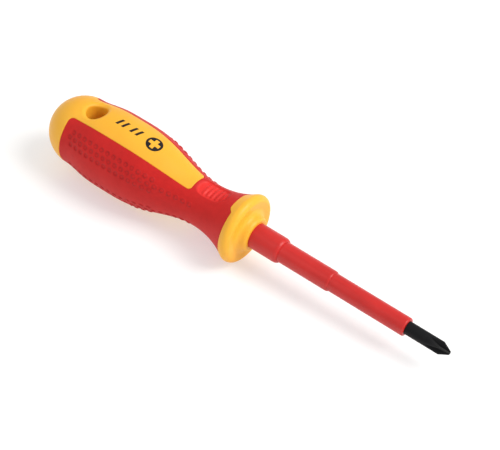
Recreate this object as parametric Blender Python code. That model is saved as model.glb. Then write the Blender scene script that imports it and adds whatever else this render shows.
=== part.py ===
"""Insulated cross-head screwdriver, lying along +X with its tip forward.

Lengths are in metres. Places along the tool are measured from the front face
of the handle, forward positive, and every piece hangs from one empty that lies
on the tool's axis. The empty puts the world's origin under the middle of the
tool, on the surface that its belly rests on.
"""

import math

import bmesh
import bpy

# Blade: one steel bar, cross-head point in front and a tang in the handle
TIP_X = 0.0800
SHANK_RADIUS = 0.002375
POINT_HALF_ANGLE = math.radians(26.5)
BLUNT_RADIUS = 0.00063
FLUTE_LENGTH = 0.0085
WING_THICKNESS = 0.00065
WING_TURN = math.radians(45)
TANG_BACK_X = -0.0600
EAR_BACK_X = -0.0540
EAR_FRONT_X = -0.0460
EAR_HALF_WIDTH = 0.0032
EAR_HALF_THICKNESS = 0.0017
EAR_RUN = 0.0015

# Sleeve: insulation moulded over the blade in two diameters
BARE_LENGTH = 0.0169
SLEEVE_WALL = 0.0010
SLEEVE_RADIUS = SHANK_RADIUS + SLEEVE_WALL
SLEEVE_STEP_X = 0.0325
SLEEVE_STEP = 0.00045
SLEEVE_ROOT_RADIUS = SLEEVE_RADIUS + SLEEVE_STEP
SLEEVE_STEP_ROUND = 0.0008
SLEEVE_END_ROUND = 0.0005
SPIGOT_BACK_X = -0.0080

# Core: first shot of the handle, moulded around the tang and the sleeve's spigot
NOSE_FRONT_X = 0.0117
NOSE_WALL = 0.0009
NOSE_RADIUS = SLEEVE_ROOT_RADIUS + NOSE_WALL
NOSE_ROUND = 0.0013
CORE_SHOULDER_X = -0.0320
CORE_RADIUS = 0.0072
CORE_CONE = 0.0050
CORE_BACK_X = -0.0630
GROOVE_PLACES = (-0.0435, -0.0505, -0.0575)
GROOVE_WIDTH = 0.0024
GROOVE_DEPTH = 0.0011

# Handle: second shot, from the domed butt to the collar
BUTT_X = -0.0902
DOME_X = -0.0770
DOME_RADIUS = 0.0129
BELLY_X = -0.0586
BELLY_RADIUS = 0.0145
BELLY_LAND = 0.0030
WAIST_X = -0.0225
WAIST_RADIUS = 0.00838
COLLAR_X = -0.0050
COLLAR_RADIUS = 0.0131
RIM_ROUND = 0.0021
RIM_BACK_ANGLE = math.radians(32)
RIM_FRONT_ANGLE = math.radians(115)
DISH_DEPTH = 0.0031
DISH_RADIUS = 0.0084
BOSS_BASE_RADIUS = 0.0070
BOSS_RADIUS = 0.0062
BOSS_ROUND = 0.0004
BACK_SKEW = 1.55
FRONT_SKEW = 1.27
FLARE_POWER = 2.2

# Hang hole through the butt, flared at both mouths
HOLE_X = -0.0720
HOLE_RADIUS = 0.0038
HOLE_MOUTH_RADIUS = 0.0053
HOLE_MOUTH_HEIGHT = 0.0128

# Grip: third shot, two soft side panels joined all round the waist
GRIP_BACK_X = -0.0784
GRIP_FRONT_X = -0.0073
GRIP_THICKNESS = 0.0018
STRIP_HALF_ANGLE = math.radians(30.3)
STRIP_FRONT_X = -0.0263
LOBE_BACK_X = -0.0093

# Clearance between neighbouring pieces
GAP = 0.0003

# Facets
BLADE_SIDES = 24
SLEEVE_SIDES = 28
HANDLE_SIDES = 32
HOLE_SIDES = 24
ROUND_STEPS = 3
RIM_STEPS = 7
DOME_STEPS = 7
PROFILE_STEP = 0.0045
STRIP_CELLS = 6
PANEL_CELLS = 14

# How far a cutter runs past what it cuts
OVERCUT = 0.0020

# Colours as linear red, green and blue, with roughness and metallic
FINISHES = {
    "blade_steel": ((0.020, 0.020, 0.022), 0.42, 0.85),
    "insulation_red": ((0.560, 0.036, 0.030), 0.36, 0.0),
    "core_red": ((0.540, 0.034, 0.028), 0.36, 0.0),
    "handle_yellow": ((0.920, 0.480, 0.060), 0.38, 0.0),
    "grip_red": ((0.500, 0.028, 0.028), 0.55, 0.0),
}


def clear_scene():
    """Remove every object that the scene starts with."""
    for old in list(bpy.data.objects):
        bpy.data.objects.remove(old, do_unlink=True)


def finish(name):
    """Return the material of that name, made from the table of finishes."""
    colour, roughness, metallic = FINISHES[name]
    material = bpy.data.materials.new(name)
    material.use_nodes = True
    shader = material.node_tree.nodes["Principled BSDF"]
    shader.inputs["Base Color"].default_value = (*colour, 1.0)
    shader.inputs["Roughness"].default_value = roughness
    shader.inputs["Metallic"].default_value = metallic
    return material


def add_object(name, mesh, axis):
    """Put a mesh in the scene as an object on the tool's axis."""
    piece = bpy.data.objects.new(name, mesh)
    bpy.context.scene.collection.objects.link(piece)
    piece.parent = axis
    return piece


def add_piece(name, mesh, axis, finish_name):
    """Put a smooth-shaded piece of the tool in the scene."""
    piece = add_object(name, mesh, axis)
    mesh.materials.append(finish(finish_name))
    mesh.shade_smooth()
    mesh.set_sharp_from_angle(angle=math.radians(32))
    return piece


def add_cutter(name, mesh, axis):
    """Put a mesh in the scene as a wire that only cuts."""
    cutter = add_object(name, mesh, axis)
    cutter.hide_render = True
    cutter.display_type = "WIRE"
    return cutter


def cut(piece, cutter):
    """Take the cutter's shape out of the piece."""
    boolean = piece.modifiers.new("cut_" + cutter.name, "BOOLEAN")
    boolean.operation = "DIFFERENCE"
    boolean.solver = "EXACT"
    boolean.object = cutter


def to_mesh(name, shape):
    """Close a bmesh into a mesh with its faces pointing out."""
    bmesh.ops.remove_doubles(shape, verts=shape.verts, dist=1e-6)
    bmesh.ops.recalc_face_normals(shape, faces=shape.faces)
    mesh = bpy.data.meshes.new(name)
    shape.to_mesh(mesh)
    shape.free()
    return mesh


def turned(name, outline, sides, closed=False):
    """Spin an outline of (place, radius) points about the tool's axis.

    The flats, not the corners, lie at the stated radius, and one of them faces
    straight down.
    """
    shape = bmesh.new()
    spread = 1.0 / math.cos(math.pi / sides)
    lean = math.pi / sides
    corners = []
    for x, radius in outline:
        reach = radius * spread
        corners.append(shape.verts.new((x, reach * math.sin(lean), reach * math.cos(lean))))
    edges = [shape.edges.new(pair) for pair in zip(corners, corners[1:])]
    if closed:
        edges.append(shape.edges.new((corners[-1], corners[0])))
    bmesh.ops.spin(
        shape, geom=corners + edges, cent=(0, 0, 0), axis=(1, 0, 0),
        angle=2 * math.pi, steps=sides, use_merge=True,
    )
    return to_mesh(name, shape)


def quarter_round(x, radius, depth, run):
    """Return points that round a front edge, from the side to the face.

    The edge would be sharp at (x, radius). The round takes depth off the
    radius and run off the length.
    """
    points = []
    for step in range(ROUND_STEPS + 1):
        turn = 0.5 * math.pi * step / ROUND_STEPS
        points.append((x - run * (1 - math.sin(turn)), radius - depth * (1 - math.cos(turn))))
    return points


def blend(first, last, share, skew):
    """Pass from one radius to another with level ends, as share goes 0 to 1."""
    return last + (first - last) * 0.5 * (1 + math.cos(math.pi * share ** skew))


def stations(start, end):
    """Return evenly spaced places from start to end, both included."""
    count = max(2, round(abs(end - start) / PROFILE_STEP))
    return [start + (end - start) * step / count for step in range(count + 1)]


def rim_point(angle):
    """Return the point of the collar's rim at an angle forward of its crest."""
    x = COLLAR_X + RIM_ROUND * math.sin(angle)
    return x, COLLAR_RADIUS - RIM_ROUND * (1 - math.cos(angle))


def handle_radius(x):
    """Return the handle's outer radius from the butt to the back of the rim."""
    belly_back = BELLY_X - 0.5 * BELLY_LAND
    belly_front = BELLY_X + 0.5 * BELLY_LAND
    if x < DOME_X:
        share = (DOME_X - x) / (DOME_X - BUTT_X)
        return DOME_RADIUS * math.sqrt(max(0.0, 1 - share * share))
    if x < belly_back:
        share = (belly_back - x) / (belly_back - DOME_X)
        return blend(BELLY_RADIUS, DOME_RADIUS, share, BACK_SKEW)
    if x <= belly_front:
        return BELLY_RADIUS
    if x < WAIST_X:
        share = (x - belly_front) / (WAIST_X - belly_front)
        return blend(BELLY_RADIUS, WAIST_RADIUS, share, FRONT_SKEW)
    rim_x, rim_radius = rim_point(-RIM_BACK_ANGLE)
    if x >= rim_x:
        return COLLAR_RADIUS - RIM_ROUND + math.sqrt(max(0.0, RIM_ROUND ** 2 - (x - COLLAR_X) ** 2))
    share = (x - WAIST_X) / (rim_x - WAIST_X)
    return WAIST_RADIUS + (rim_radius - WAIST_RADIUS) * share ** FLARE_POWER


def core_outline(growth):
    """Return the core's outside, from its back face to its nose, without a bore.

    Growth moves every wall outwards, which makes the hollow that holds it.
    """
    nose = NOSE_RADIUS + growth
    barrel = CORE_RADIUS + growth
    back = CORE_BACK_X - growth
    shoulder = CORE_SHOULDER_X + growth
    outline = [(back, 0.0), (back, barrel)]
    for place in reversed(GROOVE_PLACES):
        wide = 0.5 * GROOVE_WIDTH - growth
        floor = barrel - GROOVE_DEPTH
        edge = [(place - wide, barrel), (place - wide, floor), (place + wide, floor), (place + wide, barrel)]
        outline.extend(edge)
    outline.append((shoulder - CORE_CONE, barrel))
    outline.append((shoulder, nose))
    return outline


def bar_outline(growth, front):
    """Return the round bar of the blade from its tang's end to a place in front."""
    radius = SHANK_RADIUS + growth
    outline = [(TANG_BACK_X - growth, 0.0), (TANG_BACK_X - growth, radius)]
    for place in (EAR_BACK_X - EAR_RUN, EAR_BACK_X, EAR_FRONT_X, EAR_FRONT_X + EAR_RUN):
        outline.append((place, radius))
    outline.append((front, radius))
    return outline


def press_ears(mesh, growth):
    """Flatten the bar between the ear places, which widens it into two ears."""
    radius = SHANK_RADIUS + growth
    for corner in mesh.vertices:
        if EAR_BACK_X - GAP < corner.co.x < EAR_FRONT_X + GAP:
            corner.co.y *= (EAR_HALF_WIDTH + growth) / radius
            corner.co.z *= (EAR_HALF_THICKNESS + growth) / radius


def flute_cutter(index, axis):
    """Cut one of the four flutes between the wings of the point."""
    shape = bmesh.new()
    tip_apex = WING_THICKNESS * math.sqrt(0.5)
    rise = (SHANK_RADIUS - tip_apex) / FLUTE_LENGTH
    ends = []
    for x in (TIP_X + OVERCUT, TIP_X - FLUTE_LENGTH - OVERCUT):
        apex = tip_apex + rise * (TIP_X - x)
        wide = apex + 2 * SHANK_RADIUS
        section = [(apex, 0.0), (wide, wide - apex), (wide, apex - wide)]
        ends.append([shape.verts.new((x, side, up)) for up, side in section])
    bmesh.ops.contextual_create(shape, geom=ends[0])
    bmesh.ops.contextual_create(shape, geom=ends[1])
    for first, second in ((0, 1), (1, 2), (2, 0)):
        shape.faces.new((ends[0][first], ends[0][second], ends[1][second], ends[1][first]))
    cutter = add_cutter(f"flute_cutter_{index}", to_mesh("flute_cutter", shape), axis)
    cutter.rotation_euler.x = WING_TURN + math.radians(45 + 90 * index)
    return cutter


def make_blade(axis):
    """Make the steel bar with its ears, its cone and its four flutes."""
    point_length = (SHANK_RADIUS - BLUNT_RADIUS) / math.tan(POINT_HALF_ANGLE)
    outline = bar_outline(0.0, TIP_X - FLUTE_LENGTH - OVERCUT)
    outline.append((TIP_X - point_length, SHANK_RADIUS))
    outline.append((TIP_X, BLUNT_RADIUS))
    outline.append((TIP_X, 0.0))
    mesh = turned("blade", outline, BLADE_SIDES)
    press_ears(mesh, 0.0)
    blade = add_piece("blade", mesh, axis, "blade_steel")
    for index in range(4):
        cut(blade, flute_cutter(index, axis))


def make_sleeve(axis):
    """Make the stepped insulation tube, with the spigot that the core grips."""
    bore = SHANK_RADIUS + GAP
    front = TIP_X - BARE_LENGTH
    step = SLEEVE_ROOT_RADIUS - SLEEVE_RADIUS
    seat = NOSE_FRONT_X + GAP
    outline = [(front, bore), (SPIGOT_BACK_X, bore), (SPIGOT_BACK_X, SLEEVE_RADIUS)]
    outline.append((seat, SLEEVE_RADIUS))
    outline.append((seat, SLEEVE_ROOT_RADIUS))
    outline.extend(quarter_round(SLEEVE_STEP_X, SLEEVE_ROOT_RADIUS, step, SLEEVE_STEP_ROUND))
    outline.extend(quarter_round(front, SLEEVE_RADIUS, SLEEVE_END_ROUND, SLEEVE_END_ROUND))
    mesh = turned("blade_sleeve", outline, SLEEVE_SIDES, closed=True)
    add_piece("blade_sleeve", mesh, axis, "insulation_red")


def make_core(axis):
    """Make the core: a grooved barrel in the belly and a nose out of the collar."""
    socket = SLEEVE_RADIUS + GAP
    shoulder_drop = NOSE_RADIUS - SLEEVE_ROOT_RADIUS
    outline = core_outline(0.0)
    outline.extend(quarter_round(NOSE_FRONT_X, NOSE_RADIUS, shoulder_drop, NOSE_ROUND))
    outline.append((NOSE_FRONT_X, socket))
    outline.append((SPIGOT_BACK_X - GAP, socket))
    outline.append((SPIGOT_BACK_X - GAP, 0.0))
    core = add_piece("inner_core", turned("inner_core", outline, SLEEVE_SIDES), axis, "core_red")
    hollow = bar_outline(GAP, SPIGOT_BACK_X + OVERCUT)
    hollow.append((SPIGOT_BACK_X + OVERCUT, 0.0))
    tang = turned("tang_cutter", hollow, BLADE_SIDES)
    press_ears(tang, GAP)
    cut(core, add_cutter("tang_cutter", tang, axis))


def grip_mesh(name, growth, lift):
    """Make the grip's solid, grown by a clearance and lifted off the handle.

    It is a sheet of cells around the handle, left open over the two yellow
    strips and the collar's two lobes, and then extruded outwards.
    """
    back = GRIP_BACK_X - growth
    front = GRIP_FRONT_X + growth
    strip_end = STRIP_FRONT_X - growth
    lobe_end = LOBE_BACK_X + growth
    thinnest = WAIST_RADIUS - GRIP_THICKNESS
    edge = STRIP_HALF_ANGLE - math.asin(growth / thinnest)
    lobe_front = handle_radius(lobe_end)
    places = stations(back, strip_end)
    places += stations(strip_end, lobe_end)[1:]
    places += [front]
    strip = [-edge + 2 * edge * step / STRIP_CELLS for step in range(STRIP_CELLS)]
    panel = [edge + (math.pi - 2 * edge) * step / PANEL_CELLS for step in range(PANEL_CELLS)]
    half_turn = strip + panel
    angles = half_turn + [angle + math.pi for angle in half_turn]
    shape = bmesh.new()
    floor = {}
    for row, x in enumerate(places):
        for column, angle in enumerate(angles):
            radius = handle_radius(x) - GRIP_THICKNESS - growth
            floor[row, column] = shape.verts.new((x, radius * math.sin(angle), radius * math.cos(angle)))
    for row in range(len(places) - 1):
        open_row = places[row] < strip_end - 0.1 * PROFILE_STEP or row == len(places) - 2
        for column in range(len(angles)):
            if open_row and column % len(half_turn) < STRIP_CELLS:
                continue
            after = (column + 1) % len(angles)
            corners = (floor[row, column], floor[row, after], floor[row + 1, after], floor[row + 1, column])
            shape.faces.new(corners)
    loose = [corner for corner in shape.verts if not corner.link_faces]
    bmesh.ops.delete(shape, geom=loose, context="VERTS")
    grown = bmesh.ops.extrude_face_region(shape, geom=list(shape.faces), use_keep_orig=True)
    for corner in grown["geom"]:
        if isinstance(corner, bmesh.types.BMVert):
            radius = handle_radius(corner.co.x)
            spread = (radius + lift) / (radius - GRIP_THICKNESS - growth)
            corner.co.y *= spread
            corner.co.z *= spread
    return to_mesh(name, shape)


def handle_outline():
    """Return the handle's outline: outside, front face, and the core's hollow."""
    outline = []
    for step in range(DOME_STEPS):
        turn = 0.5 * math.pi * step / DOME_STEPS
        outline.append((DOME_X - (DOME_X - BUTT_X) * math.cos(turn), DOME_RADIUS * math.sin(turn)))
    belly_back = BELLY_X - 0.5 * BELLY_LAND
    belly_front = BELLY_X + 0.5 * BELLY_LAND
    rim_back = rim_point(-RIM_BACK_ANGLE)[0]
    places = stations(DOME_X, belly_back) + stations(belly_front, WAIST_X)
    places += stations(WAIST_X, rim_back)[1:-1]
    outline.extend((x, handle_radius(x)) for x in places)
    for step in range(RIM_STEPS + 1):
        turn = -RIM_BACK_ANGLE + (RIM_BACK_ANGLE + RIM_FRONT_ANGLE) * step / RIM_STEPS
        outline.append(rim_point(turn))
    outline.append((-DISH_DEPTH, DISH_RADIUS))
    outline.append((-DISH_DEPTH + BOSS_ROUND, BOSS_BASE_RADIUS))
    outline.append((-BOSS_ROUND, BOSS_RADIUS))
    outline.append((0.0, BOSS_RADIUS - BOSS_ROUND))
    hollow = core_outline(GAP)
    outline.append((0.0, NOSE_RADIUS + GAP))
    outline.extend(reversed(hollow))
    return outline


def hole_cutter(axis):
    """Make the hang hole's cutter, upright, flared at both mouths."""
    shape = bmesh.new()
    flare = HOLE_MOUTH_RADIUS - HOLE_RADIUS
    reach = BELLY_RADIUS + OVERCUT
    throat = HOLE_MOUTH_HEIGHT - flare
    wide = HOLE_RADIUS + reach - throat
    outline = [(-reach, 0.0), (-reach, wide), (-throat, HOLE_RADIUS)]
    outline += [(throat, HOLE_RADIUS), (reach, wide), (reach, 0.0)]
    spread = 1.0 / math.cos(math.pi / HOLE_SIDES)
    corners = [shape.verts.new((radius * spread, 0.0, z)) for z, radius in outline]
    edges = [shape.edges.new(pair) for pair in zip(corners, corners[1:])]
    bmesh.ops.spin(
        shape, geom=corners + edges, cent=(0, 0, 0), axis=(0, 0, 1),
        angle=2 * math.pi, steps=HOLE_SIDES, use_merge=True,
    )
    cutter = add_cutter("hole_cutter", to_mesh("hole_cutter", shape), axis)
    cutter.location.x = HOLE_X
    return cutter


def make_handle(axis):
    """Make the handle body, with a pocket for the grip and the hang hole."""
    body = add_piece("handle_body", turned("handle_body", handle_outline(), HANDLE_SIDES), axis, "handle_yellow")
    cut(body, add_cutter("pocket_cutter", grip_mesh("pocket_cutter", GAP, OVERCUT), axis))
    cut(body, hole_cutter(axis))


def make_grip(axis):
    """Make the soft grip."""
    add_piece("grip", grip_mesh("grip", 0.0, 0.0), axis, "grip_red")


def main():
    """Build the screwdriver."""
    clear_scene()
    axis = bpy.data.objects.new("tool_axis", None)
    bpy.context.scene.collection.objects.link(axis)
    axis.location = (-0.5 * (TIP_X + BUTT_X), 0.0, BELLY_RADIUS)
    make_blade(axis)
    make_sleeve(axis)
    make_core(axis)
    make_handle(axis)
    make_grip(axis)


main()
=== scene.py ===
"""Fine model, finishes and studio of an insulated cross-head screwdriver.

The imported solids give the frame. Each visible piece is built again here at full
detail, on the same axis and at the same sizes, and stands for its solid.

Places along the tool are measured from the front face of the handle, forward
positive. Angles round the tool are measured from straight up.
"""

import math

import bmesh
import bpy
import numpy as np
from bpy.props import FloatProperty, FloatVectorProperty, IntProperty, PointerProperty
from mathutils import Matrix, Vector


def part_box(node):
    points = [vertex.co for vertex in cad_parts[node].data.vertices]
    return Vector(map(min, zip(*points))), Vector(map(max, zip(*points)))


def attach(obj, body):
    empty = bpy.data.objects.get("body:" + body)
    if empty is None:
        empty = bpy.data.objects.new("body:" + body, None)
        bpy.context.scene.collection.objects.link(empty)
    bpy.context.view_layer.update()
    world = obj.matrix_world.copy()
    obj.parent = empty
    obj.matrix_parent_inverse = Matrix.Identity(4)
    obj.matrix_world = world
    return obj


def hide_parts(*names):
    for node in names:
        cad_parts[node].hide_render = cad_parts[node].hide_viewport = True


bl_info = {
    "name": "Insulated screwdriver",
    "version": (1, 0, 0),
    "blender": (4, 5, 0),
    "location": "3D Viewport > Sidebar > Screwdriver",
    "description": "Builds the fine model of an insulated cross-head screwdriver",
    "category": "Object",
}

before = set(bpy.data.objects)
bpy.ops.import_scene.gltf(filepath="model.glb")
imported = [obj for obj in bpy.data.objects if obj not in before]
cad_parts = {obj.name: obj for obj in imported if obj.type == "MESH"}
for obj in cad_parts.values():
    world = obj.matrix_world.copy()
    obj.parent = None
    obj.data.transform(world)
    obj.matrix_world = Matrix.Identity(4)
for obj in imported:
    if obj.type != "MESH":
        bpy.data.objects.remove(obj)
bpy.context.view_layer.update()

BLADE_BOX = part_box("blade")
SLEEVE_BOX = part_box("blade_sleeve")
CORE_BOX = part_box("inner_core")
HANDLE_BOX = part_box("handle_body")
GRIP_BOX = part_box("grip")

# The tool's axis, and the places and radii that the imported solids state
AXIS_HEIGHT = 0.5 * (HANDLE_BOX[0].z + HANDLE_BOX[1].z)
FRONT_X = HANDLE_BOX[1].x
TIP_X = BLADE_BOX[1].x - FRONT_X
SLEEVE_FRONT_X = SLEEVE_BOX[1].x - FRONT_X
SPIGOT_BACK_X = SLEEVE_BOX[0].x - FRONT_X
SLEEVE_ROOT_RADIUS = 0.5 * (SLEEVE_BOX[1].z - SLEEVE_BOX[0].z)
NOSE_FRONT_X = CORE_BOX[1].x - FRONT_X
BUTT_X = HANDLE_BOX[0].x - FRONT_X
BELLY_RADIUS = 0.5 * (HANDLE_BOX[1].z - HANDLE_BOX[0].z)
COLLAR_RADIUS = 0.5 * (HANDLE_BOX[1].y - HANDLE_BOX[0].y)
GRIP_BACK_X = GRIP_BOX[0].x - FRONT_X
GRIP_FRONT_X = GRIP_BOX[1].x - FRONT_X

TINY = 1e-9
WELD = 2e-7
FULL_TURN = 2 * math.pi
QUARTER_TURN = 0.5 * math.pi


def length(name, text, default):
    """Return a size property in metres."""
    return FloatProperty(
        name=name, description=text, default=default, min=0.0, unit="LENGTH", precision=5,
    )


def place(name, text, default):
    """Return a place along the tool, in metres from the handle's front face."""
    return FloatProperty(name=name, description=text, default=default, unit="LENGTH", precision=5)


def angle(name, text, degrees):
    """Return an angle property, stated in degrees."""
    return FloatProperty(name=name, description=text, default=math.radians(degrees), subtype="ANGLE")


def number(name, text, default):
    """Return a property that counts things."""
    return IntProperty(name=name, description=text, default=default, min=1)


def colour(name, text, default):
    """Return a colour property, linear red, green and blue."""
    return FloatVectorProperty(
        name=name, description=text, default=default, size=3, min=0.0, max=1.0, subtype="COLOR",
    )


class BladeSizes(bpy.types.PropertyGroup):
    """Sizes of the steel bar and its cross point."""

    shank_radius: length("Shank radius", "Radius of the round bar", 0.002375)
    blunt_radius: length("Blunt radius", "Radius of the point's end", 0.00063)
    point_angle: angle("Point angle", "Angle of the flanks to the axis", 26.5)
    wing_thickness: length("Wing thickness", "Thickness of a wing at the end", 0.00062)
    flute_length: length("Flute length", "Reach of the flutes along the bar", 0.0087)
    wing_length: length("Wing length", "Stretch where the wings keep their thickness", 0.0034)
    wing_turn: angle("Wing turn", "Angle of a wing from the top", 45.0)
    edge_round: length("Edge round", "Softness of the wings' edges", 0.00007)


class SleeveSizes(bpy.types.PropertyGroup):
    """Sizes of the insulation and of the core's nose."""

    front_radius: length("Front radius", "Outer radius of the thinner stretch", 0.003375)
    step_x: place("Step", "Where the sleeve gets thinner", 0.0325)
    step_round: length("Step round", "Length of the round at the step", 0.0010)
    end_round: length("End round", "Round of the front edge", 0.00055)
    nose_radius: length("Nose radius", "Radius of the core's nose", 0.004725)
    nose_round: length("Nose round", "Length of the nose's round", 0.0016)
    nose_depth: length("Nose depth", "How far the nose runs into the collar", 0.0028)


class HandleSizes(bpy.types.PropertyGroup):
    """Sizes of the yellow handle."""

    dome_x: place("Dome", "Where the butt's dome begins", -0.0770)
    dome_radius: length("Dome radius", "Radius at the start of the dome", 0.0129)
    belly_x: place("Belly", "Widest place", -0.0586)
    belly_land: length("Belly land", "Level stretch at the belly", 0.0030)
    waist_x: place("Waist", "Narrowest place", -0.0225)
    waist_radius: length("Waist radius", "Radius at the waist", 0.00838)
    collar_x: place("Collar", "Crest of the collar", -0.0050)
    rim_round: length("Rim round", "Radius of the collar's rim", 0.0021)
    dish_depth: length("Dish depth", "Depth of the dish behind the boss", 0.0031)
    dish_radius: length("Dish radius", "Radius of the dish's floor", 0.0084)
    boss_base: length("Boss base", "Radius of the boss where it leaves the dish", 0.0070)
    boss_radius: length("Boss radius", "Radius of the boss in front", 0.0062)
    hole_x: place("Hole", "Centre of the hang hole", -0.0720)
    hole_radius: length("Hole radius", "Radius of the hang hole", 0.0038)
    mouth_radius: length("Mouth radius", "Radius of the hole's flared mouth", 0.0053)
    strip_angle: angle("Strip angle", "Half the angle that a strip spans", 30.3)
    lobe_angle: angle("Lobe angle", "Half the angle that a lobe of the collar spans", 27.5)
    strip_front: place("Strip front", "Front end of the strips", -0.0263)
    strip_corner: length("Strip corner", "Radius of the strips' front corners", 0.0013)
    panel_corner: length("Panel corner", "Radius of the panels' back corners", 0.0021)
    lobe_back: place("Lobe back", "Back end of the collar's lobes", -0.0090)
    lobe_corner: length("Lobe corner", "Radius of the lobes' corners", 0.0019)
    lip: length("Lip", "Round of the edges at the joint line", 0.00020)


class GripSizes(bpy.types.PropertyGroup):
    """Sizes of the soft grip's relief."""

    thickness: length("Thickness", "Depth of the soft layer", 0.0016)
    sink: length("Sink", "How far the grip lies under the yellow", 0.00006)
    dimple_radius: length("Dimple radius", "Radius of a dimple", 0.00100)
    dimple_depth: length("Dimple depth", "Depth of a dimple", 0.00028)
    dimple_pitch: length("Dimple pitch", "Distance between dimples in a row", 0.00268)
    row_angle: angle("Row angle", "Angle of the first row from the top", 50.3)
    row_step: angle("Row step", "Angle between rows", 9.7)
    dimple_start: place("Dimple start", "First dimple of the first row", -0.0738)
    pits_end: place("Pits end", "Where the dimples turn into bumps", -0.0470)
    dimple_count: number("Dimples", "Dimples in a short row", 14)
    long_count: number("Long row", "Dimples in the middle row", 20)
    dish_back: place("Dish back", "Back end of the thumb dish", -0.0256)
    dish_front: place("Dish front", "Front end of the thumb dish", -0.0131)
    dish_width: length("Dish width", "Half the width of the thumb dish", 0.0038)
    dish_sink: length("Dish sink", "Depth of the thumb dish", 0.00065)
    rib_pitch: length("Rib pitch", "Distance between ribs", 0.0018)
    rib_height: length("Rib height", "Height of a rib", 0.00042)
    rib_start: place("Rib start", "Middle of the first rib", -0.0218)
    rib_count: number("Ribs", "Ribs in the dish", 5)


class Colours(bpy.types.PropertyGroup):
    """Colours of the finishes."""

    yellow: colour("Yellow", "Handle", (0.86, 0.435, 0.031))
    yellow_warm: colour("Warm yellow", "Handle, where it varies", (0.83, 0.388, 0.024))
    grip: colour("Grip red", "Soft grip", (0.56, 0.014, 0.012))
    grip_dark: colour("Dark grip red", "Soft grip, where it varies", (0.48, 0.011, 0.010))
    # Painted highlight: the thumb dish is painted this lighter red where the light catches it.
    grip_highlight: colour("Bright grip red", "Soft grip, polished by the thumb", (0.78, 0.035, 0.030))
    # Painted shade: the dimples' walls are painted this darker red.
    grip_pit_shade: colour("Deep grip red", "Soft grip, in the dimples", (0.26, 0.008, 0.010))
    sleeve: colour("Sleeve red", "Insulation", (0.55, 0.018, 0.015))
    sleeve_dark: colour("Dark sleeve red", "Insulation, where it varies", (0.47, 0.014, 0.012))
    steel: colour("Steel", "Phosphated steel", (0.006, 0.006, 0.007))
    steel_worn: colour("Worn steel", "Steel on rubbed edges", (0.045, 0.044, 0.043))
    ink: colour("Ink", "Printed marks", (0.004, 0.003, 0.003))
    floor: colour("Floor", "Studio floor", (0.60, 0.60, 0.60))


class StageSizes(bpy.types.PropertyGroup):
    """The camera and the floor."""

    azimuth: angle("Azimuth", "Camera's turn round the tool", 33.44)
    elevation: angle("Elevation", "Camera's height above the tool", 44.84)
    roll: angle("Roll", "Camera's roll", 6.28)
    distance: length("Distance", "From the handle's front to the camera", 0.680)
    aside: place("Aside", "Camera's shift to the right", -0.002114)
    above: place("Above", "Camera's shift upwards", 0.003580)
    lens: FloatProperty(name="Lens", description="Focal length in millimetres", default=143.6, min=10.0)
    floor_radius: length("Floor radius", "Radius of the round floor", 4.0)


# Node trees -----------------------------------------------------------------


class Value:
    """A number's socket that can stand in a Python expression."""

    def __init__(self, tree, socket):
        self.tree = tree
        self.socket = socket

    def math(self, operation, *others, swapped=False):
        """Add a Math node of that operation on this value and the others."""
        node = self.tree.nodes.new("ShaderNodeMath")
        node.operation = operation
        operands = (*others, self) if swapped else (self, *others)
        for slot, operand in zip(node.inputs, operands):
            plug(self.tree, slot, operand)
        return Value(self.tree, node.outputs[0])

    def __add__(self, other):
        return self.math("ADD", other)

    def __sub__(self, other):
        return self.math("SUBTRACT", other)

    def __rsub__(self, other):
        return self.math("SUBTRACT", other, swapped=True)

    def __mul__(self, other):
        return self.math("MULTIPLY", other)

    def __truediv__(self, other):
        return self.math("DIVIDE", other)

    def __rtruediv__(self, other):
        return self.math("DIVIDE", other, swapped=True)

    def __pow__(self, other):
        return self.math("POWER", other)

    def __abs__(self):
        return self.math("ABSOLUTE")

    __radd__ = __add__
    __rmul__ = __mul__

    def least(self, other):
        """Return the smaller of the two."""
        return self.math("MINIMUM", other)

    def most(self, other):
        """Return the larger of the two."""
        return self.math("MAXIMUM", other)

    def held(self):
        """Return the value held between 0 and 1."""
        return self.most(0.0).least(1.0)

    def eased(self, start, end):
        """Return 0 before start and 1 after end, with a smooth rise between."""
        share = ((self - start) / (end - start)).held()
        return share * share * (3.0 - share * 2.0)


def plug(tree, slot, operand):
    """Link a value into a slot, or set the slot to a plain number or colour."""
    if isinstance(operand, Value):
        tree.links.new(operand.socket, slot)
    elif isinstance(operand, bpy.types.NodeSocket):
        tree.links.new(operand, slot)
    else:
        slot.default_value = operand


class Tree:
    """A node tree and the one way that nodes are added to it."""

    def __init__(self, tree):
        self.tree = tree

    def add(self, kind, settings=None, **slots):
        """Add a node: first its settings, then the values or links of its slots.

        A slot's name has _ for a space. A name such as at_1 means slot 1.
        """
        node = self.tree.nodes.new(kind)
        for name, setting in (settings or {}).items():
            setattr(node, name, setting)
        for name, operand in slots.items():
            key = int(name[3:]) if name.startswith("at_") else name.replace("_", " ")
            plug(self.tree, node.inputs[key], operand)
        return node

    def value(self, kind, output=0, settings=None, **slots):
        """Add a node and return one of its outputs as a value."""
        return Value(self.tree, self.add(kind, settings, **slots).outputs[output])

    def axes(self, vector):
        """Split a vector into its three values."""
        node = self.add("ShaderNodeSeparateXYZ", Vector=vector)
        return [Value(self.tree, socket) for socket in node.outputs]

    def noise(self, vector, scale, detail=3.0, roughness=0.5):
        """Return noise between 0 and 1 on a vector."""
        slots = {"Vector": vector, "Scale": scale, "Detail": detail, "Roughness": roughness}
        return self.value("ShaderNodeTexNoise", **slots)

    def tint(self, share, first, second):
        """Return the colour between first and second at a share."""
        ends = [end if isinstance(end, bpy.types.NodeSocket) else (*end, 1.0) for end in (first, second)]
        slots = {"Factor": share, "at_6": ends[0], "at_7": ends[1]}
        return self.add("ShaderNodeMix", {"data_type": "RGBA"}, **slots).outputs[2]


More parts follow.
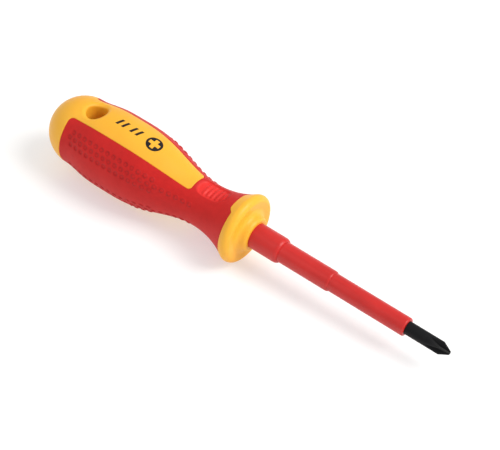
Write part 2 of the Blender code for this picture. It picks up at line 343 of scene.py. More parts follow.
def new_material(name):
    """Return a material, its tree, its main shader and its object coordinates."""
    material = bpy.data.materials.new(name)
    material.use_nodes = True
    tree = Tree(material.node_tree)
    shader = material.node_tree.nodes["Principled BSDF"]
    where = tree.add("ShaderNodeTexCoord").outputs["Object"]
    return material, tree, shader, where


def stretched(tree, where, along, across):
    """Return coordinates scaled along the tool and across it."""
    node = tree.add("ShaderNodeMapping", Vector=where)
    node.inputs["Scale"].default_value = (along, across, across)
    return node.outputs[0]


def dress(tree, shader, colour, roughness, height=None, strength=0.3, distance=0.00002):
    """Give a shader its colour, its roughness and a bump of that height."""
    plug(tree.tree, shader.inputs["Base Color"], colour)
    plug(tree.tree, shader.inputs["Roughness"], roughness)
    if height is not None:
        node = tree.add("ShaderNodeBump", Strength=strength, Distance=distance, Height=height)
        plug(tree.tree, shader.inputs["Normal"], node.outputs[0])


def set_evenly(shader, **values):
    """Set sockets that are the same all over a surface. A name has _ for a space."""
    for name, value in values.items():
        shader.inputs[name.replace("_", " ")].default_value = value


def let_light_in(shader, gloss, weight, glow, depth):
    """Set a moulding's gloss and the light that passes under its skin."""
    set_evenly(
        shader, Specular_IOR_Level=gloss, Subsurface_Weight=weight,
        Subsurface_Radius=glow, Subsurface_Scale=depth,
    )


# Finishes -------------------------------------------------------------------

MARK_HEIGHT = 0.0031
MARK_SLANT = 0.33
BAR_PLACES = (-0.0614, -0.0589, -0.0552, -0.0527)
BAR_WIDTH = 0.0011
DISC_X = -0.0459
DISC_RADIUS = 0.0031
CROSS_ARM = 0.0022
CROSS_WIDTH = 0.00075
INK_EDGE = 0.00004


def ink_mask(tree, where):
    """Return 1 where ink lies on the top strip: four slanted bars and a cross on a disc."""
    x, y, z = tree.axes(where)
    top = z.eased(AXIS_HEIGHT, AXIS_HEIGHT + 0.001)
    lean = x - y * MARK_SLANT
    tall = abs(y) - 0.5 * MARK_HEIGHT
    ink = None
    for bar_x in BAR_PLACES:
        wide = abs(lean - (FRONT_X + bar_x)) - 0.5 * BAR_WIDTH
        bar = 1.0 - wide.most(tall).eased(-INK_EDGE, INK_EDGE)
        ink = bar if ink is None else ink.most(bar)
    across = x - (FRONT_X + DISC_X)
    reach = (across * across + y * y).math("SQRT")
    disc = 1.0 - (reach - DISC_RADIUS).eased(-INK_EDGE, INK_EDGE)
    arm_x = (abs(across) - CROSS_ARM).most(abs(y) - CROSS_WIDTH)
    arm_y = (abs(y) - CROSS_ARM).most(abs(across) - CROSS_WIDTH)
    cross = 1.0 - arm_x.least(arm_y).eased(-INK_EDGE, INK_EDGE)
    return ink.most(disc * (1.0 - cross)) * top


YELLOW_GLOW = (1.0, 0.45, 0.08)
RED_GLOW = (1.0, 0.10, 0.06)
YELLOW_GLOW_DEPTH = 0.0012
RED_GLOW_DEPTH = 0.0008


def yellow_plastic(colours):
    """Satin yellow moulding with a fine spark-eroded grain and printed marks."""
    material, tree, shader, where = new_material("yellow_plastic")
    cloud = tree.noise(where, 46.0, 3.0)
    grain = tree.noise(where, 3400.0, 2.0, 0.6)
    swirl = tree.noise(where, 420.0, 3.0)
    ink = ink_mask(tree, where)
    plain = tree.tint(cloud.eased(0.30, 0.72), colours.yellow, colours.yellow_warm)
    colour = tree.tint(ink, plain, colours.ink)
    roughness = 0.34 + swirl * 0.10 + grain * 0.06 + ink * 0.06
    dress(tree, shader, colour, roughness, grain * 0.55 + swirl * 0.6 + ink * 0.35)
    let_light_in(shader, 0.32, 0.10, YELLOW_GLOW, YELLOW_GLOW_DEPTH)
    return material


def soft_red(colours):
    """Matt red rubbery moulding with a fine skin, polished in the thumb dish, which is painted lighter as
    a highlight; the dimples' walls are painted darker as shade.
    """
    material, tree, shader, where = new_material("soft_red")
    cloud = tree.noise(where, 70.0, 4.0)
    skin = tree.noise(where, 2600.0, 3.0, 0.62)
    mottle = tree.noise(where, 620.0, 3.0, 0.6)
    # The dimples' walls get painted shade; the thumb dish gets a painted highlight and less roughness.
    pit_shade = tree.value("ShaderNodeAttribute", "Fac", {"attribute_name": "pit_shade"})
    thumb = tree.value("ShaderNodeAttribute", "Fac", {"attribute_name": "thumb"})
    share = (cloud * 0.6 + mottle * 0.5).eased(0.35, 0.78)
    plain = tree.tint(share, colours.grip, colours.grip_dark)
    # Painted highlight: the thumb dish is painted lighter red, strongest at its rear.
    polished_and_lit = tree.tint(thumb * 0.75, plain, colours.grip_highlight)
    colour = tree.tint(pit_shade * 0.55, polished_and_lit, colours.grip_pit_shade)
    roughness = 0.44 + cloud * 0.10 + skin * 0.08 - thumb * 0.10
    dress(tree, shader, colour, roughness, skin * 0.8 + mottle * 0.5, 0.42, 0.00003)
    let_light_in(shader, 0.20, 0.05, RED_GLOW, RED_GLOW_DEPTH)
    return material


def insulation_red(name, colours, gloss):
    """Semi-gloss red moulding with faint flow lines along the tool."""
    material, tree, shader, where = new_material(name)
    flow = tree.noise(stretched(tree, where, 60.0, 620.0), 1.0, 3.0)
    cloud = tree.noise(where, 90.0, 3.0)
    grain = tree.noise(where, 3000.0, 2.0)
    share = (flow * 0.5 + cloud * 0.6).eased(0.38, 0.74)
    colour = tree.tint(share, colours.sleeve, colours.sleeve_dark)
    dress(tree, shader, colour, gloss + flow * 0.10 + grain * 0.05, flow * 0.7 + grain * 0.35, 0.28)
    let_light_in(shader, 0.38, 0.05, RED_GLOW, RED_GLOW_DEPTH)
    return material


def black_steel(colours, blade):
    """Phosphated steel, rubbed brighter on the point's outer edges."""
    material, tree, shader, where = new_material("black_steel")
    x, y, z = tree.axes(where)
    up = z - AXIS_HEIGHT
    reach = (y * y + up * up).math("SQRT")
    grain = tree.noise(where, 4200.0, 4.0, 0.65)
    cloud = tree.noise(where, 480.0, 4.0, 0.6)
    ground = tree.noise(stretched(tree, where, 500.0, 5200.0), 1.0, 2.0)
    end = FRONT_X + TIP_X
    point = x.eased(end - blade.flute_length, end - 0.3 * blade.flute_length)
    flank = (end - x) * math.tan(blade.point_angle) + blade.blunt_radius
    near_edge = (reach / flank.least(blade.shank_radius)).eased(0.80, 1.0)
    edge_rub = (near_edge * point * (0.25 + grain * 0.75)).held() * 0.55
    rub = (edge_rub + cloud.eased(0.56, 0.80) * 0.10).held()
    colour = tree.tint(rub, colours.steel, colours.steel_worn)
    height = grain * 0.7 + ground * 0.4 + cloud * 0.4
    dress(tree, shader, colour, 0.50 - rub * 0.14 + grain * 0.10, height, 0.35)
    set_evenly(shader, Metallic=0.20, Specular_IOR_Level=0.17)
    return material


FLOOR_GLOW = 0.42
FLOOR_CLEARANCE = 0.0001


def pale_floor(colours):
    """Matt white sheet, lit from behind, with a faint tooth."""
    material, tree, shader, where = new_material("pale_floor")
    tooth = tree.noise(where, 900.0, 2.0)
    dim = [0.97 * channel for channel in colours.floor]
    dress(tree, shader, tree.tint(tooth, colours.floor, dim), 0.80 + tooth * 0.08)
    set_evenly(
        shader, Specular_IOR_Level=0.15,
        Emission_Color=(1.0, 1.0, 1.0, 1.0), Emission_Strength=FLOOR_GLOW,
    )
    return material


# Meshes ---------------------------------------------------------------------


def show(name, mesh, material, *nodes, slot_name):
    """Put a finished mesh in the scene, smooth-shaded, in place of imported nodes."""
    piece = bpy.data.objects.new(name, mesh)
    bpy.context.scene.collection.objects.link(piece)
    mesh.materials.clear()
    mesh.materials.append(material)
    mesh.shade_smooth()
    mesh.set_sharp_from_angle(angle=math.radians(50))
    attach(piece, "root")
    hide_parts(*nodes)
    return piece


def mesh_of(name, points, faces):
    """Return a mesh of points given from the handle's front, put in the frame."""
    points = np.asarray(points, float) + (FRONT_X, 0.0, AXIS_HEIGHT)
    mesh = bpy.data.meshes.new(name)
    mesh.from_pydata([tuple(point) for point in points], [], faces)
    shape = bmesh.new()
    shape.from_mesh(mesh)
    bmesh.ops.remove_doubles(shape, verts=shape.verts, dist=WELD)
    bmesh.ops.recalc_face_normals(shape, faces=shape.faces)
    shape.to_mesh(mesh)
    shape.free()
    mesh.validate()
    return mesh


def around(x, radius, turns):
    """Return the points at some places along the tool, radii and angles round it."""
    points = np.broadcast_arrays(x, radius * np.sin(turns), radius * np.cos(turns))
    return np.stack(points, axis=-1).reshape(-1, 3)


def even_turns(columns):
    """Return angles evenly spaced round the tool."""
    return np.arange(columns) * FULL_TURN / columns


def lathe(name, outline, columns):
    """Turn an outline of (place, radius) points about the axis."""
    outline = np.asarray(outline, float)
    points = around(outline[:, :1], outline[:, 1:], even_turns(columns))
    return mesh_of(name, points, grid_faces(len(outline), columns))


def grid_faces(rows, columns):
    """Return the quads of a grid that closes on itself round the tool."""
    faces = []
    for low in range(0, (rows - 1) * columns, columns):
        high = low + columns
        for column in range(columns):
            after = (column + 1) % columns
            faces.append((low + column, low + after, high + after, high + column))
    return faces


def arc(centre, radius, start, end, steps):
    """Return points on an arc in the outline's plane, angles from straight out."""
    turns = np.linspace(start, end, steps + 1)
    return [(centre[0] + radius[0] * math.sin(t), centre[1] + radius[1] * math.cos(t)) for t in turns]


def spaced(start, end, step):
    """Return even places from start to end, both included."""
    count = max(1, math.ceil(abs(end - start) / step))
    return [start + (end - start) * index / count for index in range(count + 1)]


# The handle's outer surface -------------------------------------------------

RIM_BACK_ANGLE = math.radians(32)
RIM_FRONT_ANGLE = math.radians(80)
BACK_SKEW = 1.55
FRONT_SKEW = 1.27
FLARE_POWER = 2.2


def blended(first, last, share, skew):
    """Pass from one radius to another with level ends, as share goes 0 to 1."""
    share = np.clip(share, 0.0, 1.0)
    return last + (first - last) * 0.5 * (1 + np.cos(math.pi * share ** skew))


def handle_radius(x, sizes):
    """Return the handle's outer radius at places behind the collar's crest."""
    x = np.asarray(x, float)
    belly_back = sizes.belly_x - 0.5 * sizes.belly_land
    belly_front = sizes.belly_x + 0.5 * sizes.belly_land
    rim_x = sizes.collar_x - sizes.rim_round * math.sin(RIM_BACK_ANGLE)
    rim_radius = COLLAR_RADIUS - sizes.rim_round * (1 - math.cos(RIM_BACK_ANGLE))
    dome_share = np.clip((sizes.dome_x - x) / (sizes.dome_x - BUTT_X), 0.0, 1.0)
    dome = sizes.dome_radius * np.sqrt(1 - dome_share ** 2)
    back_share = (belly_back - x) / (belly_back - sizes.dome_x)
    back = blended(BELLY_RADIUS, sizes.dome_radius, back_share, BACK_SKEW)
    front_share = (x - belly_front) / (sizes.waist_x - belly_front)
    front = blended(BELLY_RADIUS, sizes.waist_radius, front_share, FRONT_SKEW)
    flare_share = np.clip((x - sizes.waist_x) / (rim_x - sizes.waist_x), 0.0, None)
    flare = sizes.waist_radius + (rim_radius - sizes.waist_radius) * flare_share ** FLARE_POWER
    rim_square = np.clip(sizes.rim_round ** 2 - (x - sizes.collar_x) ** 2, 0.0, None)
    rim = COLLAR_RADIUS - sizes.rim_round + np.sqrt(rim_square)
    cases = [x < sizes.dome_x, x < belly_back, x <= belly_front, x < sizes.waist_x, x < rim_x]
    return np.select(cases, [dome, back, BELLY_RADIUS, front, flare], rim)


def rounded_box(first, second, corner):
    """Distance outside the corner of two half planes, with a rounded corner."""
    first = first + corner
    second = second + corner
    outside = np.hypot(np.maximum(first, 0.0), np.maximum(second, 0.0))
    return outside + np.minimum(np.maximum(first, second), 0.0) - corner


def grip_distance(x, turn, sizes):
    """Distance outside the grip's outline on the handle, below 0 on the grip."""
    radius = handle_radius(x, sizes)
    half = np.abs((turn + QUARTER_TURN) % math.pi - QUARTER_TURN)
    beside_strip = (half - sizes.strip_angle) * radius
    strip = rounded_box(beside_strip, x - sizes.strip_front, sizes.strip_corner)
    back = rounded_box(GRIP_BACK_X - x, -strip, sizes.panel_corner)
    beside_lobe = (half - sizes.lobe_angle) * radius
    lobe = rounded_box(beside_lobe, sizes.lobe_back - x, sizes.lobe_corner)
    front = rounded_box(x - GRIP_FRONT_X, -lobe, 0.4 * sizes.lobe_corner)
    return np.maximum(back, front)


def hole_distance(x, turn, sizes):
    """Distance outside the hang hole's mouths, seen from above or below."""
    across = handle_radius(x, sizes) * np.sin(turn)
    return np.hypot(x - sizes.hole_x, across) - sizes.mouth_radius


SLOPE_STEP = 1e-6
THINNEST = 1e-5


class Skin:
    """A grid on the handle's surface whose corners lie on an outline that crosses it.

    Corners next to the line where the distance is 0 are moved onto it, so that
    each cell can be given whole, or as one triangle, to one side of the line.
    """

    def __init__(self, places, turns, distance, sizes):
        self.sizes = sizes
        self.distance = distance
        self.x, self.turn = np.meshgrid(places, turns, indexing="ij")
        self.off = distance(self.x, self.turn)
        self.off[np.abs(self.off) < WELD / 2] = 0.0
        self.snap()

    def slope(self):
        """Return the distance's slope along the tool and round it, per metre."""
        x, turn, distance = self.x, self.turn, self.distance
        radius = np.maximum(handle_radius(x, self.sizes), THINNEST)
        turn_step = SLOPE_STEP / radius
        along = (distance(x + SLOPE_STEP, turn) - distance(x - SLOPE_STEP, turn)) / (2 * SLOPE_STEP)
        across = (distance(x, turn + turn_step) - distance(x, turn - turn_step)) / (2 * SLOPE_STEP)
        size = np.maximum(np.hypot(along, across), TINY)
        return along / size, across / size, radius

    def snap(self):
        """Move the nearer corner of each crossed cell edge onto the line."""
        near = np.zeros(self.off.shape, bool)
        size = np.abs(self.off)
        for shift, axis in ((1, 0), (1, 1)):
            other = np.roll(self.off, -shift, axis=axis)
            crossed = self.off * other < 0
            if axis == 0:
                crossed[-1, :] = False
            mine = size <= np.abs(other)
            near |= crossed & mine
            near |= np.roll(crossed & ~mine, shift, axis=axis)
        for _ in range(3):
            along, across, radius = self.slope()
            gap = np.where(near, self.distance(self.x, self.turn), 0.0)
            self.x = self.x - gap * along
            self.turn = self.turn - gap * across / radius
        self.off[near] = 0.0

    def cells(self, side):
        """Return the faces on one side of the line: -1 inside, 1 outside."""
        rows, columns = self.off.shape
        sign = np.sign(self.off) * side
        faces = []
        for corners in grid_faces(rows, columns):
            signs = [sign.flat[corner] for corner in corners]
            if min(signs) < 0 < max(signs):
                best = signs.index(1.0)
                faces.append([corners[best - 1], corners[best], corners[(best + 1) % 4]])
            elif max(signs) > 0:
                faces.append(list(corners))
        return faces

    def points(self, sink):
        """Return the grid's points, sunk under the handle's outer surface."""
        radius = handle_radius(self.x, self.sizes) - sink
        return around(self.x, radius, self.turn)

    def frames(self):
        """Return outward normals and the directions that leave the inside."""
        ahead = handle_radius(self.x + SLOPE_STEP, self.sizes)
        behind = handle_radius(self.x - SLOPE_STEP, self.sizes)
        tilt = (ahead - behind) / (2 * SLOPE_STEP)
        sine, cosine = np.sin(self.turn), np.cos(self.turn)
        forward = np.stack([np.ones_like(tilt), tilt * sine, tilt * cosine], axis=-1)
        forward /= np.linalg.norm(forward, axis=-1, keepdims=True)
        sideways = np.stack([np.zeros_like(tilt), cosine, -sine], axis=-1)
        normal = np.cross(sideways, forward)
        normal *= np.sign(normal[..., 1] * sine + normal[..., 2] * cosine)[..., None]
        along, across, _ = self.slope()
        leave = along[..., None] * forward + across[..., None] * sideways
        return normal.reshape(-1, 3), leave.reshape(-1, 3)


def boundary_edges(faces):
    """Return each edge that only one face has, in that face's direction."""
    seen = {}
    for face in faces:
        for first, second in zip(face, face[1:] + face[:1]):
            if (second, first) in seen:
                del seen[second, first]
            else:
                seen[first, second] = True
    return list(seen)


def lip_rings(skin, points, corners, lip, depth):
    """Return rings of points that round a sheet's edge and go down its wall."""
    normal, leave = (part[corners] for part in skin.frames())
    start = points[corners]
    rings = []
    for share in (0.25, 0.5, 0.75, 1.0):
        turn = QUARTER_TURN * share
        rings.append(start + leave * lip * math.sin(turn) - normal * lip * (1 - math.cos(turn)))
    rings.append(start + leave * lip - normal * depth)
    return rings


def corners_of(edges):
    """Return the corners of some edges, each once, in order."""
    return sorted({corner for edge in edges for corner in edge})


def hang(points, faces, edges, rings):
    """Hang rings of points from a loop of edges, and join them with faces.

    Returns the points and where each corner of the loop lies in the last ring.
    """
    corners = corners_of(edges)
    below = {corner: corner for corner in corners}
    for ring in rings:
        above = below
        below = {corner: len(points) + order for order, corner in enumerate(corners)}
        points = np.concatenate([points, ring])
        faces.extend([[above[b], above[a], below[a], below[b]] for a, b in edges])
    return points, below


# Pieces ---------------------------------------------------------------------

BLADE_COLUMNS = 192
LATHE_COLUMNS = 144
FLUTE_STEPS = 90
FLUTE_RUN_OUT = 1.35
FLUTE_FADE = 0.35
FLANK_EDGE = 0.00012
BLUNT_DOME = 0.10
WING_SPREAD = 0.02
EDGE_SOFTNESS = 0.8
BAR_STEP = 0.004


def point_section(back, turns, sizes):
    """Return the point's radius at angles round it, and the radius without flutes."""
    flank = sizes.blunt_radius + back * math.tan(sizes.point_angle)
    outside = min(flank, sizes.shank_radius)
    widest = sizes.shank_radius * math.sqrt(0.5) - 0.5 * sizes.wing_thickness
    run = max(0.0, back - sizes.wing_length) / (sizes.flute_length - sizes.wing_length)
    spread = WING_SPREAD * min(back, sizes.wing_length) + widest * run ** 1.2
    half_wing = 0.5 * sizes.wing_thickness + spread
    turned = turns - sizes.wing_turn
    beside = np.minimum(np.abs(np.sin(turned)), np.abs(np.cos(turned)))
    flute = half_wing / np.maximum(beside, 1e-6)
    softness = EDGE_SOFTNESS * sizes.edge_round * outside
    return 0.5 * (flute + outside - np.sqrt((flute - outside) ** 2 + softness)), outside


def blade_mesh(sizes):
    """Return the steel bar: shank, flanks, four flutes that run out, blunt end."""
    turns = even_turns(BLADE_COLUMNS)
    point_length = (sizes.shank_radius - sizes.blunt_radius) / math.tan(sizes.point_angle)
    run = FLUTE_RUN_OUT * sizes.flute_length
    backs = {run * (step / FLUTE_STEPS) ** 1.1 for step in range(FLUTE_STEPS + 1)}
    backs |= {point_length - FLANK_EDGE, point_length, point_length + FLANK_EDGE}
    blunt = BLUNT_DOME * sizes.blunt_radius
    tip = point_section(0.0, turns, sizes)[0]
    rings = [(TIP_X, tip * 0.0)]
    for share in (0.55, 0.85):
        rings.append((TIP_X - blunt * (1 - math.cos(QUARTER_TURN * share)), tip * share))
    rings.append((TIP_X - blunt, tip))
    for back in sorted(backs):
        radius, outside = point_section(back, turns, sizes)
        fade = min(1.0, max(0.0, (run - back) / (FLUTE_FADE * run)))
        radius = outside + (np.minimum(radius, outside) - outside) * fade ** 0.5
        if back > 0.0 and TIP_X - back <= TIP_X - blunt + TINY:
            rings.append((TIP_X - back, radius))
    whole = np.full(BLADE_COLUMNS, sizes.shank_radius)
    back_x = SPIGOT_BACK_X + 0.5 * BAR_STEP
    rings += [(x, whole) for x in spaced(TIP_X - run - 0.25 * BAR_STEP, back_x, BAR_STEP)]
    rings.append((back_x, whole * 0.0))
    points = np.concatenate([around(x, radius, turns) for x, radius in rings])
    return mesh_of("blade_steel", points, grid_faces(len(rings), BLADE_COLUMNS))


TUBE_STEP = 0.0015
NOSE_STEP = 0.0012
NOSE_SEAT = 0.0008
NOSE_LIP = 0.0009
NOSE_ROOM = 0.00002
BORE_ROOM = 0.0001
SNUG = 0.00003


def sleeve_outline(sizes, bore):
    """Return the insulation's outline, closed on itself, from its bore's front."""
    front, root = sizes.front_radius, SLEEVE_ROOT_RADIUS
    end = sizes.end_round
    seat_x = NOSE_FRONT_X - NOSE_SEAT
    round_x = sizes.step_x - sizes.step_round
    outline = [(SLEEVE_FRONT_X, bore), (SPIGOT_BACK_X, bore), (SPIGOT_BACK_X, front)]
    outline += [(seat_x, front), (seat_x, root)]
    outline += [(x, root) for x in spaced(NOSE_FRONT_X, round_x, TUBE_STEP)]
    outline += arc((round_x, front), (sizes.step_round, root - front), 0.0, QUARTER_TURN, 8)[1:]
    outline += [(x, front) for x in spaced(sizes.step_x, SLEEVE_FRONT_X - end, TUBE_STEP)[1:]]
    outline += arc((SLEEVE_FRONT_X - end, front - end), (end, end), 0.0, QUARTER_TURN, 8)[1:]
    return outline + outline[:1]


def nose_outline(sizes):
    """Return the outline of the core's nose, with the bore that holds the sleeve."""
    mouth = SLEEVE_ROOT_RADIUS + NOSE_ROOM
    drop = sizes.nose_radius - mouth - NOSE_ROOM
    back = -sizes.nose_depth
    bore = sizes.front_radius + BORE_ROOM
    lip_x = NOSE_FRONT_X - NOSE_LIP
    start = NOSE_FRONT_X - sizes.nose_round
    outline = [(NOSE_FRONT_X, mouth), (lip_x, mouth)]
    outline += [(lip_x, bore), (back, bore), (back, sizes.nose_radius)]
    outline += [(x, sizes.nose_radius) for x in spaced(back, start, NOSE_STEP)[1:]]
    outline += arc((start, sizes.nose_radius - drop), (sizes.nose_round, drop), 0.0, QUARTER_TURN, 12)[1:]
    return outline + outline[:1]


HANDLE_COLUMNS = 240
DOME_STEPS = 30
# The hole's mouth: radius past the bore and depth, as shares of the flare
MOUTH_STEPS = (
    (0.80, 0.03), (0.56, 0.09), (0.32, 0.17), (0.16, 0.25), (0.07, 0.34), (0.02, 0.46), (0.0, 0.62),
)
HANDLE_STEP = 0.00042
POCKET_ROOM = 0.0001
HOLE_MARGIN = 0.001


def collar_front(sizes, nose_radius):
    """Return the outline from the collar's crest to the seat behind the nose."""
    centre = (sizes.collar_x, COLLAR_RADIUS - sizes.rim_round)
    rim = arc(centre, (sizes.rim_round,) * 2, 0.0, RIM_FRONT_ANGLE, 16)
    ledge = (-sizes.dish_depth + 0.0001, sizes.dish_radius + 0.0017)
    bed = (-sizes.dish_depth, sizes.dish_radius)
    foot = (-sizes.dish_depth + 0.0008, sizes.boss_base)
    brow = (-0.0006, sizes.boss_radius + 0.00012)
    corner = (0.0, sizes.boss_radius - 0.0005)
    path = [rim[-2], rim[-1], ledge, bed, foot, brow, corner, (0.0, nose_radius + 0.0004)]
    socket = nose_radius + SNUG
    seat_x = -sizes.dish_depth + 0.0002
    return rim + smooth_path(path) + [(0.0, socket), (-0.0006, socket), (seat_x, socket), (seat_x, 0.0)]


def smooth_path(controls):
    """Return points on a smooth curve through controls, after the first two."""
    controls = [np.array(point) for point in controls]
    points = []
    for index in range(1, len(controls) - 1):
        before, start, end = controls[index - 1:index + 2]
        after = controls[min(index + 2, len(controls) - 1)]
        for share in np.linspace(0, 1, 8)[1:]:
            lead = 0.5 * (end - before)
            trail = 0.5 * (after - start)
            square, cube = share ** 2, share ** 3
            point = (2 * cube - 3 * square + 1) * start + (cube - 2 * square + share) * lead
            point = point + (3 * square - 2 * cube) * end + (cube - square) * trail
            points.append(tuple(point))
    return points


def hole_rings(start, sizes, side):
    """Return rings that lead one mouth of the hang hole down to the middle."""
    across = np.stack([start[:, 0] - sizes.hole_x, start[:, 1]], axis=1)
    heading = across / np.linalg.norm(across, axis=1, keepdims=True)
    flare = sizes.mouth_radius - sizes.hole_radius
    deepest = MOUTH_STEPS[-1][1]
    level = side * (abs(start[:, 2]).min() - deepest * flare)
    rings = []
    for wide, deep in MOUTH_STEPS:
        radius = sizes.hole_radius + flare * wide
        height = start[:, 2] - side * deep * flare
        height = height + (level - height) * (deep / deepest) ** 3
        rings.append(np.column_stack([heading * radius + (sizes.hole_x, 0.0), height]))
    mouth = rings[-1]
    for share in (0.7, 0.35, 0.0):
        rings.append(mouth * (1.0, 1.0, share))
    return rings


def handle_mesh(sizes, sleeve, grip):
    """Return the yellow body: sheet, lips, pocket floor, hang hole and collar."""
    turns = even_turns(HANDLE_COLUMNS)
    dome_turns = QUARTER_TURN * np.arange(DOME_STEPS) / DOME_STEPS
    places = list(BUTT_X + (sizes.dome_x - BUTT_X) * (1 - np.cos(dome_turns)))
    places += spaced(sizes.dome_x, sizes.collar_x, HANDLE_STEP)

    def outside(x, turn):
        """Distance outside the yellow: inside the grip's outline or the hole."""
        seam = -grip_distance(x, turn, sizes) + sizes.lip
        return np.maximum(seam, -hole_distance(x, turn, sizes))

    skin = Skin(places, turns, outside, sizes)
    points = skin.points(0.0)
    faces = skin.cells(-1)
    edges = boundary_edges(faces)
    at_hole = np.hypot(points[:, 0] - sizes.hole_x, points[:, 1]) < sizes.mouth_radius + THINNEST
    hole_edges = [edge for edge in edges if at_hole[edge[0]] and at_hole[edge[1]]]
    for side in (1, -1):
        loop = [edge for edge in hole_edges if points[edge[0], 2] * side > 0]
        rings = hole_rings(points[corners_of(loop)], sizes, side)
        points, _ = hang(points, faces, loop, rings)
    last_row = (len(places) - 1) * HANDLE_COLUMNS
    seam = [edge for edge in edges if not (at_hole[edge[0]] and at_hole[edge[1]])]
    seam = [edge for edge in seam if HANDLE_COLUMNS <= edge[0] < last_row]
    depth = grip.thickness + POCKET_ROOM
    rings = lip_rings(skin, points, corners_of(seam), sizes.lip, depth)
    points, foot = hang(points, faces, seam, rings)
    points = add_pocket_floor(points, faces, skin, foot, depth)
    previous = last_row
    for x, radius in collar_front(sizes, sleeve.nose_radius)[1:]:
        current = len(points)
        points = np.concatenate([points, around(x, radius, turns)])
        for column in range(HANDLE_COLUMNS):
            after = (column + 1) % HANDLE_COLUMNS
            faces.append([previous + column, previous + after, current + after, current + column])
        previous = current
    return mesh_of("handle_yellow", points, faces)


def add_pocket_floor(points, faces, skin, foot, depth):
    """Add the floor of the grip's pocket, joined to the foot of the pocket's wall."""
    sizes = skin.sizes
    in_grip = grip_distance(skin.x, skin.turn, sizes) < sizes.lip
    in_hole = hole_distance(skin.x, skin.turn, sizes) < HOLE_MARGIN
    skin.off[in_hole & ~in_grip] = -1.0
    off = skin.off.reshape(-1, 1)
    _, leave = skin.frames()
    push = np.where(off > 0, sizes.lip * np.clip(1 - off / (4 * sizes.lip), 0.0, 1.0), 0.0)
    low = skin.points(depth) + leave * push
    base = len(points)
    faces.extend([[foot.get(corner, base + corner) for corner in face] for face in skin.cells(1)])
    return np.concatenate([points, low])


# Steps of the grip's grid: on the panels, the dish and the collar, in metres
GRIP_STEPS = (0.00031, 0.00026, 0.00036)
# Steps round it: before the rows, on them, past them and on a strip, in degrees
TURN_STEPS = (1.7, 1.0, 2.0, 1.5)


def grip_turns(sizes, grip):
    """Return angles round the grip, close together where the dimples are."""
    edge = math.degrees(sizes.strip_angle)
    row = math.degrees(grip.row_angle)
    step = math.degrees(grip.row_step)
    stops = (edge, row - 0.5 * step, row + 2.5 * step, 90.0)
    quarter = []
    for start, end, turn_step in zip(stops, stops[1:], TURN_STEPS):
        quarter += spaced(start, end, turn_step)[:-1]
    side = quarter + [90.0] + [180.0 - turn for turn in reversed(quarter[1:])]
    half = spaced(-edge, edge, TURN_STEPS[3])[:-1] + side
    return np.radians(half + [turn + 180.0 for turn in half])


def grip_mesh(sizes, grip):
    """Return the red grip: its outer sheet, lips, walls and inner sheet."""
    stops = (GRIP_BACK_X, sizes.strip_front, grip.dish_front, GRIP_FRONT_X)
    places = [GRIP_BACK_X]
    for start, end, step in zip(stops, stops[1:], GRIP_STEPS):
        places += spaced(start, end, step)[1:]
    turns = grip_turns(sizes, grip)

    def outside(x, turn):
        """Distance outside the grip, short of its lip."""
        return grip_distance(x, turn, sizes) + sizes.lip

    skin = Skin(places, turns, outside, sizes)
    points = skin.points(grip.sink)
    sheet = skin.cells(-1)
    count = len(points)
    edges = boundary_edges(sheet)
    faces = list(sheet)
    rings = lip_rings(skin, points, corners_of(edges), sizes.lip, grip.thickness)
    points, foot = hang(points, faces, edges, rings)
    base = len(points)
    points = np.concatenate([points, skin.points(grip.sink + grip.thickness)])
    faces.extend([[foot.get(corner, base + corner) for corner in reversed(face)] for face in sheet])
    used = sorted({corner for face in faces for corner in face})
    renumber = {corner: order for order, corner in enumerate(used)}
    faces = [[renumber[corner] for corner in reversed(face)] for face in faces]
    return points[used], faces, np.array(used) < count


# How far each row starts before the first one, in dimples
ROW_SHIFTS = (0.0, -0.36, 0.14)
PITS_BLEND = 0.0012
# Where each shape starts and ends, as shares of its own reach
CUP = (0.55, 1.0)
WALL_RISE = (0.30, 0.72)
WALL_FALL = (0.80, 1.0)
DISH_EDGE = (0.50, 1.06)
RIB_FLANK = (0.10, 0.42)
RIB_ENDS = (0.30, 0.86)
THUMB_FADE = 0.75


